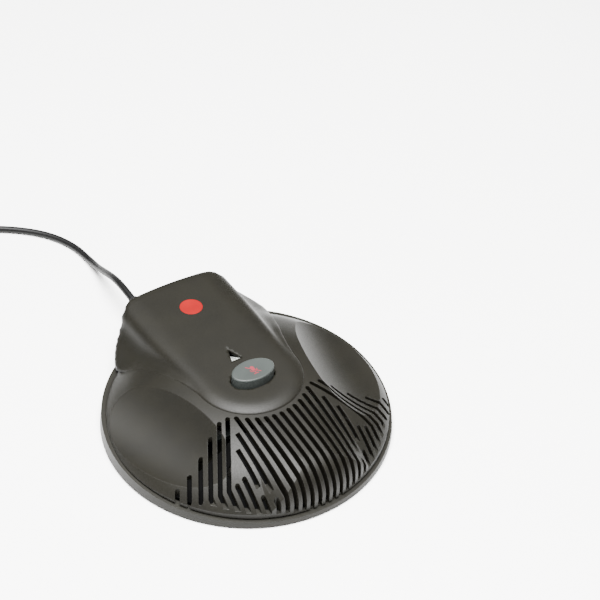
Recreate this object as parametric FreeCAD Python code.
"""Tabletop extension microphone for a conference telephone, built as an assembly.

Millimetres, +Z up.  The grille faces -Y and the lead leaves at the back, +Y.
Everything is drawn about the axis of the round body, and save() then moves it so
that the origin is the middle of the footprint, on the table.
"""
import FreeCAD, Part
import math
import os
from FreeCAD import Matrix, Placement, Rotation, Vector

# ---------------------------------------------------------------- driving dimensions
DISC_RADIUS = 57.0          # round body at the table
FOOT_HEIGHT = 0.8           # how far the rubber feet stand out below the tray
WALL = 2.0                  # thickness of the moulded shells
FLOOR_TOP = 2.3             # upper face of the tray floor

PARTING_MID = 5.6           # height of the tray's sloping top edge at the disc axis
PARTING_SLOPE = 0.05        # it rises towards the back by this much per millimetre
RIM_TOP_RADIUS = 55.9       # the tray's rim leans in to this radius at RIM_TOP
RIM_TOP = 10.5

DOME_RADIUS = 55.4          # radius of the dome where it stands in the tray
DOME_PROFILE = (            # the sloping dome, as (radius, height) from the axis outwards
    (0.0, 23.6), (16.0, 23.3), (24.0, 22.5), (31.0, 21.0), (38.5, 18.4),
    (45.0, 15.3), (49.0, 12.4), (52.5, 9.4), (55.4, 6.0))
SEAT_HEIGHT = 0.5           # the dome's edge stands at least this far above the tray's

BROW_TOP = 23.6             # the raised brow over the front of the grille
BROW_ARC = 280.0            # radius of its nearly flat top along the middle
BROW_SHOULDER = 13.0        # radius of the shoulder down to the front wall
BROW_HALF_WIDTH = 23.0
BROW_SECTIONS = (           # y, height along the middle, fall from there to the brow's side
    (-5.0, 23.3, 3.6), (-16.0, 23.2, 2.9), (-24.0, 22.8, 2.8), (-31.0, 22.1, 4.6),
    (-38.0, 21.4, 7.0), (-44.0, 20.5, 9.8), (-50.0, 19.2, 14.0), (-60.0, 16.5, 16.0))

SCOOP_AXES = (39.0, 143.6, 58.7)      # half axes of the ellipsoid that hollows each side
SCOOP_CENTRE = (56.9, 16.0, 66.1)
SCOOP_TURN = 16.1                    # degrees, its long axis turned about Z

NECK_TOP = 24.7
NECK_BACK = 62.4            # back face of the neck
BUTTON_CENTRE = -3.4        # along Y
BUTTON_AXES = (8.85, 5.55)  # half axes of the oval button
BUTTON_TOP = 28.7
BUTTON_GAP = 0.35
BUTTON_STEM_END = 18.0

SLOT_PITCH = 3.17
SLOT_WIDTH = 1.7
SCOOP_SLOT_TURN = 30.0      # degrees outwards from straight ahead

BOARD_BOTTOM = 12.0
BOARD_TOP = 13.6

CORD_DIAMETER = 3.0
CORD_X = -11.5
CORD_EXIT_HEIGHT = 14.0
COIL_MEAN_RADIUS = 17.2     # to the middle of the turns
COIL_CENTRE = (-69.0, 150.0)

CENTRE_SHIFT = (NECK_BACK - DISC_RADIUS) / 2.0

os.makedirs("parts", exist_ok=True)


def save(name, shape):
    """Move a finished piece into the part's frame and write it."""
    shape = shape.copy()
    shape.translate(Vector(0, -CENTRE_SHIFT, 0))
    shape.exportStep("parts/%s.step" % name)
    box = shape.BoundBox
    print("%-20s solids %2d  volume %9.1f  x %6.1f %6.1f  y %6.1f %6.1f  z %5.1f %5.1f%s" % (
        name, len(shape.Solids), shape.Volume, box.XMin, box.XMax, box.YMin, box.YMax,
        box.ZMin, box.ZMax, "" if shape.isValid() else "  NOT VALID"))


# ---------------------------------------------------------------- small builders
def cylinder(x, y, bottom, top, radius):
    return Part.makeCylinder(radius, top - bottom, Vector(x, y, bottom))


def block(x0, x1, y0, y1, z0, z1):
    return Part.makeBox(x1 - x0, y1 - y0, z1 - z0, Vector(x0, y0, z0))


def polygon_prism(points, bottom, top):
    corners = [Vector(x, y, bottom) for x, y in points]
    face = Part.Face(Part.makePolygon(corners + corners[:1]))
    return face.extrude(Vector(0, 0, top - bottom))


def oval(x, y, half_x, half_y, bottom, top):
    """An upright prism with an elliptical section."""
    ellipse = Part.Ellipse(Vector(x, y, bottom), half_x, half_y)
    face = Part.Face(Part.Wire([ellipse.toShape()]))
    return face.extrude(Vector(0, 0, top - bottom))


def fuse(shapes):
    shapes = list(shapes)
    return shapes[0].multiFuse(shapes[1:]) if len(shapes) > 1 else shapes[0]


def both_sides(shape):
    """A piece and its mirror image across the middle of the microphone."""
    return [shape, shape.mirror(Vector(0, 0, 0), Vector(1, 0, 0))]


def revolve(points):
    """A solid of revolution about Z from (radius, height) corners."""
    corners = [Vector(r, 0, z) for r, z in points]
    face = Part.Face(Part.makePolygon(corners + corners[:1]))
    return face.revolve(Vector(0, 0, 0), Vector(0, 0, 1), 360)


def screw(x, y, head_bottom, shank_end, head=2.6, shank=1.4, head_height=1.5):
    """A pan-head screw standing on its head, or hanging from it if shank_end is lower."""
    if shank_end > head_bottom:
        top = head_bottom + head_height
        body = cylinder(x, y, head_bottom, top, head).fuse(cylinder(x, y, top, shank_end, shank))
        slot_z = (head_bottom - 1, head_bottom + 0.6)
    else:
        top = head_bottom + head_height
        body = cylinder(x, y, head_bottom, top, head).fuse(cylinder(x, y, shank_end, head_bottom, shank))
        slot_z = (top - 0.6, top + 1)
    cross = block(x - 1.5, x + 1.5, y - 0.3, y + 0.3, *slot_z)
    cross = cross.fuse(block(x - 0.3, x + 0.3, y - 1.5, y + 1.5, *slot_z))
    return body.cut(cross)


# ---------------------------------------------------------------- the body's surfaces
def parting_height(y):
    return PARTING_MID + PARTING_SLOPE * y


def above_parting(gap=0.0):
    """Everything over the sloping parting plane, raised by gap."""
    half = block(-100, 100, -100, 100, 0, 100)
    half.rotate(Vector(0, 0, 0), Vector(1, 0, 0), math.degrees(math.atan(PARTING_SLOPE)))
    half.translate(Vector(0, 0, PARTING_MID + gap))
    return half


def brow_front(inset):
    """A domed drum with an upright wall, which the brow follows along the middle."""
    wall = DOME_RADIUS - inset
    shoulder = BROW_SHOULDER - inset
    arc = BROW_ARC - inset
    centre_r = DOME_RADIUS - BROW_SHOULDER
    arc_centre = BROW_TOP - BROW_ARC
    lean = math.asin(centre_r / (BROW_ARC - BROW_SHOULDER))
    centre_z = arc_centre + (BROW_ARC - BROW_SHOULDER) * math.cos(lean)

    def on_shoulder(angle):
        return Vector(centre_r + shoulder * math.sin(angle), 0, centre_z + shoulder * math.cos(angle))

    def on_top(angle):
        return Vector(arc * math.sin(angle), 0, arc_centre + arc * math.cos(angle))

    low = -1.0
    edges = [
        Part.LineSegment(Vector(0, 0, low), Vector(wall, 0, low)).toShape(),
        Part.LineSegment(Vector(wall, 0, low), Vector(wall, 0, centre_z)).toShape(),
        Part.Arc(Vector(wall, 0, centre_z), on_shoulder((lean + math.pi / 2) / 2), on_shoulder(lean)).toShape(),
        Part.Arc(on_top(lean), on_top(lean / 2), on_top(0)).toShape(),
        Part.LineSegment(on_top(0), Vector(0, 0, low)).toShape(),
    ]
    face = Part.Face(Part.Wire(edges))
    return face.revolve(Vector(0, 0, 0), Vector(0, 0, 1), 360)


def brow(inset):
    """The raised middle of the front, arched from side to side."""
    half = BROW_HALF_WIDTH - inset
    wires = []
    for y, height, fall in BROW_SECTIONS:
        top = height - inset
        left, right = Vector(-half, y, top - fall), Vector(half, y, top - fall)
        arch = Part.Arc(left, Vector(0, y, top), right).toShape()
        sides = Part.makePolygon([right, Vector(half, y, -1.0), Vector(-half, y, -1.0), left])
        wires.append(Part.Wire([arch] + sides.Edges))
    return Part.makeLoft(wires, True, False).common(brow_front(inset))


def sloping_dome(inset):
    """The part of the dome that is the same all round, inset square to its surface."""
    points = []
    for k, (r, z) in enumerate(DOME_PROFILE):
        before = DOME_PROFILE[max(k - 1, 0)]
        after = DOME_PROFILE[min(k + 1, len(DOME_PROFILE) - 1)]
        slope = math.atan2(before[1] - after[1], after[0] - before[0]) if k else 0.0
        points.append(Vector(max(r - inset * math.sin(slope), 0), 0, z - inset * math.cos(slope)))
    profile = Part.BSplineCurve()
    profile.interpolate(points)
    outer, low = points[-1], -1.0
    edges = [profile.toShape(),
             Part.LineSegment(outer, Vector(outer.x, 0, low)).toShape(),
             Part.LineSegment(Vector(outer.x, 0, low), Vector(0, 0, low)).toShape(),
             Part.LineSegment(Vector(0, 0, low), points[0]).toShape()]
    return Part.Face(Part.Wire(edges)).revolve(Vector(0, 0, 0), Vector(0, 0, 1), 360)


def dome(inset):
    """The solid under the upper housing's surface, that far in from it."""
    seat = cylinder(0, 0, -1, 30, DOME_RADIUS - inset).cut(above_parting(SEAT_HEIGHT - inset))
    return sloping_dome(inset).multiFuse([brow(inset), seat])


def scoop(side, grow=0.0):
    """The ellipsoid that hollows one side; side is -1 for -X and +1 for +X."""
    stretch = Matrix()
    stretch.scale(*[axis + grow for axis in SCOOP_AXES])
    ball = Part.makeSphere(1.0).transformGeometry(stretch)
    ball.Placement = Placement(
        Vector(side * SCOOP_CENTRE[0], SCOOP_CENTRE[1], SCOOP_CENTRE[2]),
        Rotation(Vector(0, 0, 1), -side * SCOOP_TURN))
    return ball


def scoops(grow=0.0):
    return [scoop(-1, grow), scoop(1, grow)]


def inside(inset):
    """The room inside the upper housing, that far in from its outer faces."""
    return dome(inset).cut(scoops(inset)).common(block(-80, 80, -80, 80, FLOOR_TOP, 40))


# ---------------------------------------------------------------- the neck
NECK_SECTIONS = (
    # y, then half width and height of the foot, the hollow of the flare and the edge,
    # and the half width of the flat top
    (0.0, 21.6, 23.0, 20.8, 23.4, 19.6, 24.0, 16.8),
    (10.0, 23.8, 22.6, 21.4, 23.0, 20.0, 23.8, 17.6),
    (20.0, 27.6, 20.5, 22.8, 21.4, 21.2, 23.6, 17.6),
    (30.0, 31.8, 16.4, 24.4, 18.8, 22.4, 23.4, 17.2),
    (39.0, 35.0, 10.6, 25.4, 16.8, 23.2, 23.2, 17.0),
    (NECK_BACK + 3.0, 41.0, 6.0, 26.4, 14.8, 23.8, 23.0, 17.0),
)


def neck_front(inset):
    """The rounded front end of the neck, about the disc's axis."""
    _, foot, _, hollow, hollow_z, edge, edge_z, flat = NECK_SECTIONS[0]
    return revolve([(0, 15), (foot - inset, 15), (foot - inset, NECK_SECTIONS[0][2] - inset),
                    (hollow - inset, hollow_z - inset), (edge - inset, edge_z - inset),
                    (flat - inset / 2, NECK_TOP - inset), (0, NECK_TOP - inset)])


def neck_run(inset):
    """The long part of the neck with its flared skirt."""
    wires = []
    for y, foot, foot_z, hollow, hollow_z, edge, edge_z, flat in NECK_SECTIONS:
        half = [(foot - inset, 1.0), (foot - inset, foot_z - inset), (hollow - inset, hollow_z - inset),
                (edge - inset, edge_z - inset), (flat - inset / 2, NECK_TOP - inset)]
        ring = half + [(-x, z) for x, z in reversed(half)]
        corners = [Vector(x, y, z) for x, z in ring]
        wires.append(Part.makePolygon(corners + corners[:1]))
    return Part.makeLoft(wires, True, True)


def neck_outline(inset):
    """The upright walls round the back of the neck, as a prism."""
    side = 36.0 - inset
    shoulder = (31.6 - inset, 48.6)
    corner = (27.4 - inset * 0.8, 55.3 - inset * 0.6)
    tail = (19.0 - inset * 0.6, NECK_BACK - 1.4 - inset)
    points = [Vector(-side, -5, 0), Vector(side, -5, 0), Vector(side, 38, 0)]
    edges = [Part.LineSegment(a, b).toShape() for a, b in zip(points, points[1:])]
    right = [Vector(x, y, 0) for x, y in (shoulder, corner, tail)]
    left = [Vector(-v.x, v.y, 0) for v in reversed(right)]
    edges.append(Part.LineSegment(points[-1], right[0]).toShape())
    edges.append(Part.Arc(*right).toShape())
    edges.append(Part.Arc(right[-1], Vector(0, NECK_BACK - inset, 0), left[0]).toShape())
    edges.append(Part.Arc(*left).toShape())
    edges.append(Part.LineSegment(left[-1], Vector(-side, 38, 0)).toShape())
    edges.append(Part.LineSegment(Vector(-side, 38, 0), points[0]).toShape())
    return Part.Face(Part.Wire(edges)).extrude(Vector(0, 0, 40))


def neck_solid(inset):
    return neck_run(inset).common(neck_outline(inset)).fuse(neck_front(inset))


# ---------------------------------------------------------------- lower tray
HOUSING_SCREWS = [(-25.4, -33.5), (25.4, -33.5), (-27, 37), (27, 37)]
COVER_SCREWS = [(-19.5, 56.0), (19.5, 56.0)]
BOARD_SCREWS = [(-20, -12), (20, -12), (-20, 28), (20, 28)]
WEIGHT_SCREWS = [(-11, 10), (11, 10)]
FEET = [(-40, -20), (40, -20), (-40, 20), (40, 20)]
TONGUE_THICKNESS = 2.4
CLAMP_Y = 40.5


def base_tray():
    rim = Part.makeCone(DISC_RADIUS, RIM_TOP_RADIUS, RIM_TOP - FOOT_HEIGHT, Vector(0, 0, FOOT_HEIGHT))
    tray = rim.cut(above_parting())
    tray = tray.cut(cylinder(0, 0, FLOOR_TOP, 20, DOME_RADIUS - WALL))
    tongue = neck_outline(0.0).cut(above_parting()).common(above_parting(-TONGUE_THICKNESS))
    tongue = tongue.cut(cylinder(0, 0, 0, 40, DOME_RADIUS - WALL)).common(block(-40, 40, 30, 80, 0, 40))
    pads = [cylinder(x, y, FLOOR_TOP - 0.5, 4.3, 4.4) for x, y in HOUSING_SCREWS]
    posts = [cylinder(x, y, FLOOR_TOP - 0.5, BOARD_BOTTOM, 3.0) for x, y in BOARD_SCREWS]
    clamp_post = block(CORD_X - 6.5, CORD_X + 6.5, CLAMP_Y - 3, CLAMP_Y + 3, FLOOR_TOP - 0.5, CORD_EXIT_HEIGHT - 1.7)
    tray = fuse([tray, tongue] + pads + posts + [clamp_post])
    holes = []
    for x, y in HOUSING_SCREWS:
        holes.append(cylinder(x, y, 0, 2.6, 3.0))
        holes.append(cylinder(x, y, 0, 5, 1.5))
    for x, y in COVER_SCREWS:
        holes.append(cylinder(x, y, 0, parting_height(y) - 1.2, 3.0))
        holes.append(cylinder(x, y, 0, 15, 1.5))
    holes += [cylinder(x, y, 5, 15, 1.0) for x, y in BOARD_SCREWS]
    holes += [cylinder(x, y, 0, 1.6, 5.1) for x, y in FEET]
    holes += [cylinder(CORD_X + side * 4.4, CLAMP_Y, 6, 20, 0.9) for side in (-1, 1)]
    return tray.cut(holes)


# ---------------------------------------------------------------- upper housing
CENTRE_SLOTS = 5            # slots either side of the middle one that start at the neck
NECK_CLEARANCE = 22.8       # those slots start this far from the axis


def slot_foot(x):
    """Height at which a slot ends near the bottom of the wall: lowest in the middle."""
    return 2.9 + 2.2 * (1 - math.exp(-(x / 14.0) ** 2)) + 4.1 * (x / 47.5) ** 2


def straight_slot(x, back, front=-60.0):
    """A slot cut parallel to Y from y = back to y = front, down to the slot's foot."""
    half = SLOT_WIDTH / 2
    cut = block(x - half, x + half, front, back - half, slot_foot(x), 40)
    return cut.fuse(cylinder(x, back - half, slot_foot(x), 40, half))


# where the slanting slots of a scoop turn at its lower edge, and how long they are,
# outermost first; each is one pitch nearer the middle than the one before
SCOOP_SLOTS = ((15, -28.5, 2.5), (14, -31.8, 9.0), (13, -34.5, 16.0),
               (12, -36.2, 21.5), (11, -37.5, 25.0), (10, -38.3, 26.0))


def scoop_slot(number, turn_y, length):
    """A slot that slants out across the scoop and then runs straight down the wall."""
    x = number * SLOT_PITCH
    half = SLOT_WIDTH / 2
    slant = block(-half, half, 0, length, 3, 40).fuse(cylinder(0, length, 3, 40, half))
    slant = slant.fuse(cylinder(0, 0, 3, 40, half))
    slant.rotate(Vector(0, 0, 0), Vector(0, 0, 1), SCOOP_SLOT_TURN)
    slant.translate(Vector(x, turn_y, 0))
    return slant.fuse(straight_slot(x, turn_y + half))


def grille_slots():
    slots = []
    for number in range(-CENTRE_SLOTS, CENTRE_SLOTS + 1):
        x = number * SLOT_PITCH
        slots.append(straight_slot(x, -math.sqrt(NECK_CLEARANCE ** 2 - x ** 2)))
    half = SLOT_WIDTH / 2
    pieces = []
    for number, dome_back, dome_front, wall_back in ((6, -23.0, -47.0, -49.2), (7, -28.5, -43.2, -45.6)):
        x = number * SLOT_PITCH
        upper = block(x - half, x + half, dome_front, dome_back, 12, 40)
        pieces += [upper, straight_slot(x, wall_back)]
    pieces += [straight_slot(8 * SLOT_PITCH, -37.6), straight_slot(9 * SLOT_PITCH, -38.0)]
    pieces += [scoop_slot(*entry) for entry in SCOOP_SLOTS]
    for piece in pieces:
        slots += both_sides(piece)
    return slots


def dome_housing():
    seated = above_parting(0.0).fuse(cylinder(0, 0, 4.0, 40, DOME_RADIUS - WALL - 0.2))
    shell = dome(0.0).cut(scoops()).common(seated)
    shadow_gap = cylinder(0, 0, 0, 20, 60).cut(cylinder(0, 0, 0, 20, DOME_RADIUS - 0.7))
    shell = shell.cut(shadow_gap.cut(above_parting(0.6)))
    shell = shell.cut(dome(WALL).cut(scoops(WALL)))
    opening = block(-19, 19, 0, 44, 10, 40).fuse(cylinder(0, 0, 15, 40, 13))
    shell = shell.cut(grille_slots())
    bosses = []
    for x, y in HOUSING_SCREWS:
        boss = cylinder(x, y, 4.35, 30, 2.5).common(dome(WALL / 2).cut(scoops(WALL / 2)))
        bosses.append(boss.cut(cylinder(x, y, 0, 11.2, 1.45)))
    shell = fuse([shell] + bosses)
    lead_hole = Part.makeCylinder(2.0, 20, Vector(CORD_X, 40, CORD_EXIT_HEIGHT), Vector(0, 1, 0))
    return shell.cut([opening, lead_hole])


# ---------------------------------------------------------------- neck cover
LENS_TIP = 14.8
LENS_FRONT = 8.0
LENS_HALF_WIDTH = 2.3


def lens_prism(grow, bottom, top):
    """The three-cornered window of the status light."""
    return polygon_prism([(-LENS_HALF_WIDTH - grow, LENS_FRONT - grow),
                          (LENS_HALF_WIDTH + grow, LENS_FRONT - grow),
                          (0, LENS_TIP + 2 * grow)], bottom, top)


def neck_cover():
    cover = neck_solid(0.0).cut(neck_solid(WALL)).cut(dome(-0.05)).common(above_parting(0.05))
    posts = []
    for x, y in COVER_SCREWS:
        post = cylinder(x, y, parting_height(y + 3) + 0.2, NECK_TOP - 1.0, 2.6)
        posts.append(post.common(neck_solid(0.5)).cut(dome(-0.05)))
    cover = fuse([cover] + posts)
    cover = cover.cut([cylinder(x, y, 5, 20, 1.45) for x, y in COVER_SCREWS])
    button_hole = oval(0, BUTTON_CENTRE, BUTTON_AXES[0] + BUTTON_GAP, BUTTON_AXES[1] + BUTTON_GAP, 18, 30)
    gland_hole = Part.makeCylinder(3.0, 10, Vector(CORD_X, NECK_BACK - 6, CORD_EXIT_HEIGHT), Vector(0, 1, 0))
    return cover.cut([button_hole, lens_prism(0.0, 20, 30), gland_hole])


# ---------------------------------------------------------------- button and light
def mute_button():
    cap = oval(0, BUTTON_CENTRE, BUTTON_AXES[0], BUTTON_AXES[1], 20.1, BUTTON_TOP)
    rim = [edge for edge in cap.Edges if edge.BoundBox.ZMin > BUTTON_TOP - 0.01]
    cap = cap.makeFillet(0.6, rim)
    flange = oval(0, BUTTON_CENTRE, BUTTON_AXES[0] + 1.5, BUTTON_AXES[1] + 1.5, 20.1, 21.7)
    stem = cylinder(0, BUTTON_CENTRE, BUTTON_STEM_END, 22, 2.2)
    return fuse([cap, flange, stem])


def button_dome():
    """Silicone spring dome: a thin cone on a foot, with a pad under the stem."""
    outer = revolve([(0, BOARD_TOP), (6.0, BOARD_TOP), (6.0, 14.4), (4.8, 14.4), (2.8, BUTTON_STEM_END),
                     (0, BUTTON_STEM_END)])
    inner = revolve([(0, BOARD_TOP - 1), (4.6, BOARD_TOP - 1), (4.6, BOARD_TOP), (2.3, 17.0), (0, 17.0)])
    spring = outer.cut(inner)
    spring.translate(Vector(0, BUTTON_CENTRE, 0))
    return spring


def light_pipe():
    pipe = lens_prism(-0.2, 15.2, NECK_TOP - 0.5)
    flange = lens_prism(0.8, 21.2, NECK_TOP - WALL - 0.05)
    flange = flange.common(block(-5, 5, LENS_FRONT - 1.0, LENS_TIP - 0.5, 20, 30))
    return pipe.fuse(flange)


# ---------------------------------------------------------------- electronics
def main_board():
    board = block(-24, 24, -16, 32, BOARD_BOTTOM, BOARD_TOP)
    corners = [edge for edge in board.Edges if abs(edge.BoundBox.ZLength - (BOARD_TOP - BOARD_BOTTOM)) < 0.01]
    board = board.makeFillet(3.0, corners)
    return board.cut([cylinder(x, y, 5, 20, 1.2) for x, y in BOARD_SCREWS])


def board_chips():
    """Amplifier, regulator, chokes and capacitors soldered to the board."""
    chips = [block(-14, -6, 12, 18, BOARD_TOP, BOARD_TOP + 1.5),
             block(8, 16, 6, 11, BOARD_TOP, BOARD_TOP + 1.2),
             block(9, 13, 20, 24, BOARD_TOP, BOARD_TOP + 1.0)]
    chips += [block(x, x + 1.6, 26, 27, BOARD_TOP, BOARD_TOP + 0.6) for x in (3, 6, 9, 12)]
    chips += [cylinder(x, 4, BOARD_TOP, BOARD_TOP + 5.0, 2.0) for x in (-18, -12.5)]
    return Part.makeCompound(chips)


def plug_socket():
    shell = block(CORD_X - 6, CORD_X + 6, 22, 28, BOARD_TOP, BOARD_TOP + 4.5)
    return shell.cut(block(CORD_X - 5, CORD_X + 5, 23.5, 30, BOARD_TOP + 0.8, BOARD_TOP + 3.9))


def lead_connector():
    return block(CORD_X - 4.8, CORD_X + 4.8, 23.7, 31.0, BOARD_TOP + 0.9, BOARD_TOP + 3.8)


# ---------------------------------------------------------------- microphone element
MIC_HEIGHT = 10.2
MIC_FRONT = -37.0


def along_y(x, z, y0, y1, radius):
    return Part.makeCylinder(radius, y1 - y0, Vector(x, y0, z), Vector(0, 1, 0))


def mic_capsule():
    can = along_y(0, MIC_HEIGHT, MIC_FRONT, MIC_FRONT + 6, 4.8)
    ports = [along_y(2.4 * math.cos(a), MIC_HEIGHT + 2.4 * math.sin(a), MIC_FRONT - 1, MIC_FRONT + 0.6, 0.5)
             for a in [math.radians(60 * k) for k in range(6)]]
    return can.cut(ports)


def mic_boot():
    sleeve = along_y(0, MIC_HEIGHT, MIC_FRONT - 0.6, MIC_FRONT + 7.5, 6.4)
    return sleeve.cut([along_y(0, MIC_HEIGHT, MIC_FRONT, MIC_FRONT + 6, 4.8),
                       along_y(0, MIC_HEIGHT, MIC_FRONT - 2, MIC_FRONT + 2, 3.8),
                       along_y(0, MIC_HEIGHT, MIC_FRONT + 4, MIC_FRONT + 9, 3.0)])


def mic_cradle():
    cradle = block(-9, 9, MIC_FRONT + 1.5, MIC_FRONT + 5.5, FLOOR_TOP, MIC_HEIGHT + 1)
    cradle = cradle.fuse(block(-9, 9, MIC_FRONT, MIC_FRONT + 7, FLOOR_TOP, FLOOR_TOP + 1.5))
    return cradle.cut(along_y(0, MIC_HEIGHT, MIC_FRONT - 5, MIC_FRONT + 12, 6.4))


def wire(points, radius):
    """A tube along straight runs joined by arcs that fit the runs beside them."""
    points = [Vector(*p) for p in points]
    runs = [b - a for a, b in zip(points, points[1:])]
    edges = []
    radii = []
    here = points[0]
    for before, after, corner in zip(runs, runs[1:], points[1:-1]):
        turn = before.getAngle(after)
        bend = 0.45 * min(before.Length, after.Length) / math.tan(turn / 2)
        radii.append(bend)
        cut = bend * math.tan(turn / 2)
        start = corner - before * (cut / before.Length)
        end = corner + after * (cut / after.Length)
        inward = (end - corner).normalize() + (start - corner).normalize()
        middle = corner + inward.normalize() * (bend / math.cos(turn / 2) - bend)
        edges.append(Part.LineSegment(here, start).toShape())
        edges.append(Part.Arc(start, middle, end).toShape())
        here = end
    edges.append(Part.LineSegment(here, points[-1]).toShape())
    spine = Part.Wire(edges)
    ring = Part.Wire([Part.makeCircle(radius, points[0], runs[0])])
    tube = spine.makePipeShell([ring], True, False)
    return tube, spine.Length, radii


def mic_leads():
    tubes = []
    for x in (-1.4, 1.4):
        route = [(x, MIC_FRONT + 6.05, MIC_HEIGHT), (x, MIC_FRONT + 14, MIC_HEIGHT), (x, -20.5, 15.2),
                 (x, -15.5, 17.0), (x, -12.2, 16.2), (x, -12.2, BOARD_TOP + 0.02)]
        tubes.append(wire(route, 0.45)[0])
    return Part.makeCompound(tubes)


def acoustic_liner():
    """Black foam behind the slots, kept clear of the bosses and the mic's cradle."""
    liner = inside(WALL + 0.15).cut(inside(WALL + 1.0))
    front = block(-60, 60, -60, -23, parting_height(-57) + 2.5, 40)
    liner = liner.common(front)
    room = along_y(0, MIC_HEIGHT, MIC_FRONT - 1.5, MIC_FRONT + 9, 7.0)
    return liner.cut([cylinder(x, y, 0, 40, 3.5) for x, y in HOUSING_SCREWS[:2]] + [room])


# ---------------------------------------------------------------- weight, feet, fasteners
def ballast_weight():
    plate = cylinder(0, 10, FLOOR_TOP, FLOOR_TOP + 6, 16)
    return plate.cut([cylinder(x, y, 0, 20, 1.6) for x, y in WEIGHT_SCREWS])


def fasteners():
    """Each set of identical screws, as one named group."""
    base = [screw(x, y, 1.0, 10.8) for x, y in HOUSING_SCREWS]
    cover = [screw(x, y, parting_height(y) - 2.9, 17.0) for x, y in COVER_SCREWS]
    board = [screw(x, y, BOARD_TOP, 7.0, 2.0, 0.95, 1.2) for x, y in BOARD_SCREWS]
    weight = [screw(x, y, FLOOR_TOP + 6, FLOOR_TOP + 0.05, 2.4, 1.5, 1.2) for x, y in WEIGHT_SCREWS]
    clamp = [screw(CORD_X + side * 4.4, CLAMP_Y, CORD_EXIT_HEIGHT + 3.3, 8.0, 1.7, 0.85, 1.0) for side in (-1, 1)]
    return {"housing_screws": base, "cover_screws": cover, "board_screws": board,
            "weight_screws": weight, "clamp_screws": clamp}


def rubber_feet():
    return Part.makeCompound([cylinder(x, y, 0, 1.6, 5.0) for x, y in FEET])


# ---------------------------------------------------------------- the lead
def cord_clamp():
    saddle = block(CORD_X - 6.5, CORD_X + 6.5, CLAMP_Y - 2.5, CLAMP_Y + 2.5,
                   CORD_EXIT_HEIGHT - 1.6, CORD_EXIT_HEIGHT + 3.3)
    holes = [cylinder(CORD_X + side * 4.4, CLAMP_Y, 0, 30, 1.0) for side in (-1, 1)]
    return saddle.cut(holes + [along_y(CORD_X, CORD_EXIT_HEIGHT, CLAMP_Y - 5, CLAMP_Y + 5, CORD_DIAMETER / 2)])


def inner_lead():
    """The end of the lead inside the body, from the gland to its connector."""
    route = [(CORD_X, NECK_BACK, CORD_EXIT_HEIGHT), (CORD_X, 36.8, CORD_EXIT_HEIGHT),
             (CORD_X, 34.0, CORD_EXIT_HEIGHT + 1.4), (CORD_X, 31.05, CORD_EXIT_HEIGHT + 1.4)]
    return wire(route, CORD_DIAMETER / 2 - 0.02)[0]


def strain_relief():
    """Rubber gland through the back of the neck, and outside it a taper moulded onto the cord."""
    inner, end = NECK_BACK - 5.3, CORD_ROUTE[0][1]
    profile = [(CORD_DIAMETER / 2, inner), (3.7, inner), (3.7, inner + 2.0), (2.9, inner + 2.0),
               (2.9, NECK_BACK + 0.05), (3.5, NECK_BACK + 0.05), (3.5, NECK_BACK + 1.0),
               (2.9, NECK_BACK + 1.4), (2.2, end), (0, end), (0, NECK_BACK), (CORD_DIAMETER / 2, NECK_BACK)]
    corners = [Vector(CORD_X + r, y, CORD_EXIT_HEIGHT) for r, y in profile]
    face = Part.Face(Part.makePolygon(corners + corners[:1]))
    return face.revolve(Vector(CORD_X, 0, CORD_EXIT_HEIGHT), Vector(0, 1, 0), 360)


# The lead's way from the end of its gland down to the table and along it to the coil.
CORD_ROUTE = (
    (-11.5, 70.4, 14.0),
    (-11.5, 78.0, 14.8),
    (-11.1, 87.0, 13.6),
    (-10.3, 96.5, 9.8),
    (-9.2, 106.5, 5.0),
    (-8.2, 117.5, 1.7),
    (-9.4, 130.0, 1.55),
    (-15.5, 143.0, 1.55),
    (-26.5, 154.0, 1.55),
    (-40.0, 162.5, 1.55),
    (-51.5, 168.3, 1.9),
    (-62.0, 172.6, 2.1),
)
TAIL_ROUTE = (
    (-93.4, 150.0, 10.6),
    (-94.6, 140.0, 9.2),
    (-95.2, 129.0, 5.8),
    (-94.6, 117.5, 3.8),
    (-93.0, 105.0, 3.3),
    (-93.0, 92.0, 3.3),
)
COIL_LAYERS = 4
COIL_TURNS = 17.25
COIL_BAND = COIL_TURNS / COIL_LAYERS * CORD_DIAMETER / 2    # half the spread of the turns


def lead_tube(name, route):
    """A stretch of cord; its volume is compared with section times length."""
    tube, length, radii = wire(route, CORD_DIAMETER / 2)
    expected = math.pi * (CORD_DIAMETER / 2) ** 2 * length
    print("%s length %.1f  volume %.1f of %.1f  radii %s" % (
        name, length, tube.Volume, expected, " ".join("%.0f" % r for r in radii)))
    return tube, length


COIL_OUTER = COIL_MEAN_RADIUS + COIL_BAND + CORD_DIAMETER / 2
COIL_INNER = COIL_MEAN_RADIUS - COIL_BAND - CORD_DIAMETER / 2
COIL_HEIGHT = COIL_LAYERS * CORD_DIAMETER + 0.1
TIE_THICKNESS = 0.6                     # the coil lies on the strap that ties it


def coil_ring(grow, bottom, top):
    x, y = COIL_CENTRE
    ring = cylinder(x, y, bottom, top, COIL_OUTER + grow)
    return ring.cut(cylinder(x, y, bottom - 1, top + 1, COIL_INNER - grow))


def cord_coil():
    """The put-away length: one ring as large as the wound turns."""
    ring = coil_ring(0.0, TIE_THICKNESS, TIE_THICKNESS + COIL_HEIGHT)
    return ring.makeFillet(1.2, [edge for edge in ring.Edges if edge.Closed])


def coil_tie():
    """Hook-and-loop strap closed round one side of the coil."""
    x, y = COIL_CENTRE
    top = TIE_THICKNESS + COIL_HEIGHT
    strap = coil_ring(TIE_THICKNESS, 0.0, top + TIE_THICKNESS)
    strap = strap.cut(coil_ring(0.05, TIE_THICKNESS - 0.05, top + 0.05))
    return strap.common(block(x, x + 60, y - 5, y + 5, -1, 40))


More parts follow.
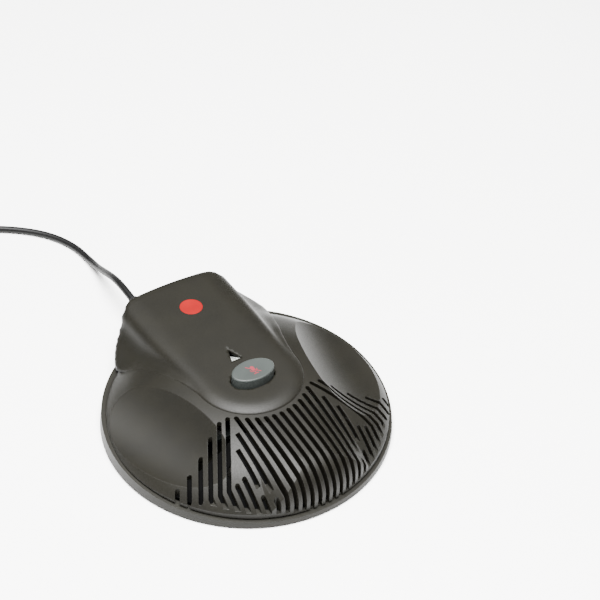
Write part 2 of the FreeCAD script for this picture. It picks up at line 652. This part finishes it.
PLUG_X = TAIL_ROUTE[-1][0]
PLUG_BACK = TAIL_ROUTE[-1][1] - 7.0      # back face of the plug's body
PLUG_LENGTH = 12.6
PLUG_HALF_WIDTH = 4.83
PLUG_HEIGHT = 6.6
PLUG_FRONT = PLUG_BACK - PLUG_LENGTH
LATCH_HINGE = (PLUG_FRONT + 1.0, PLUG_HEIGHT + 0.55)


def plug_body():
    body = block(PLUG_X - PLUG_HALF_WIDTH, PLUG_X + PLUG_HALF_WIDTH, PLUG_FRONT, PLUG_BACK, 0, PLUG_HEIGHT)
    shoulder = block(PLUG_X - 6, PLUG_X + 6, PLUG_BACK - 3.0, PLUG_BACK + 1, PLUG_HEIGHT - 0.7, PLUG_HEIGHT + 1)
    body = body.cut(shoulder)
    slots = [block(x - 0.3, x + 0.3, PLUG_FRONT - 1, PLUG_FRONT + 4.0, -1, 2.6) for x in contact_places()]
    return body.cut(slots)


def contact_places():
    return [PLUG_X + (k - 1.5) * 1.02 for k in range(4)]


def plug_contacts():
    blades = [block(x - 0.15, x + 0.15, PLUG_FRONT + 0.2, PLUG_FRONT + 3.8, 0.4, 2.55) for x in contact_places()]
    return Part.makeCompound(blades)


def plug_latch():
    """The springy tab on the plug; it bends at its root near the front."""
    y, z = LATCH_HINGE
    profile = [(y - 0.9, z - 0.5), (y + 0.5, z - 0.5), (y + 5.0, z + 0.9), (y + 13.5, z + 2.9),
               (y + 13.5, z + 3.7), (y + 4.6, z + 1.9), (y - 0.4, z + 0.5), (y - 0.9, z + 0.2)]
    corners = [Vector(PLUG_X - 3.0, a, b) for a, b in profile]
    tab = Part.Face(Part.makePolygon(corners + corners[:1])).extrude(Vector(6.0, 0, 0))
    return tab


def plug_boot():
    """Rubber sleeve behind the plug, round the cord."""
    x, z = PLUG_X, TAIL_ROUTE[-1][2]
    end = TAIL_ROUTE[-1][1]
    cone = Part.makeCone(2.9, 2.2, end - PLUG_BACK - 0.05, Vector(x, PLUG_BACK + 0.05, z), Vector(0, 1, 0))
    return cone


def main():
    save("base_tray", base_tray())
    save("dome_housing", dome_housing())
    save("neck_cover", neck_cover())
    save("mute_button", mute_button())
    save("button_dome", button_dome())
    save("light_pipe", light_pipe())
    save("status_led", block(-1.6, 1.6, 9.0, 12.0, BOARD_TOP, BOARD_TOP + 1.4))
    save("main_board", main_board())
    save("board_chips", board_chips())
    save("lead_socket", plug_socket())
    save("lead_connector", lead_connector())
    save("mic_capsule", mic_capsule())
    save("mic_boot", mic_boot())
    save("mic_cradle", mic_cradle())
    save("mic_leads", mic_leads())
    save("acoustic_liner", acoustic_liner())
    save("ballast_weight", ballast_weight())
    for name, group in fasteners().items():
        save(name, Part.makeCompound(group))
    save("rubber_feet", rubber_feet())
    save("cord_clamp", cord_clamp())
    save("strain_relief", strain_relief())
    save("inner_lead", inner_lead())
    run, run_length = lead_tube("cord_run", CORD_ROUTE)
    tail, tail_length = lead_tube("cord_tail", TAIL_ROUTE)
    wound = COIL_TURNS * 2 * math.pi * COIL_MEAN_RADIUS
    print("lead length %.0f" % (run_length + wound + tail_length))
    save("cord_run", run)
    save("cord_coil", cord_coil())
    save("coil_tie", coil_tie())
    save("cord_tail", tail)
    save("plug_body", plug_body())
    save("plug_contacts", plug_contacts())
    save("plug_latch", plug_latch())
    save("plug_boot", plug_boot())


main()
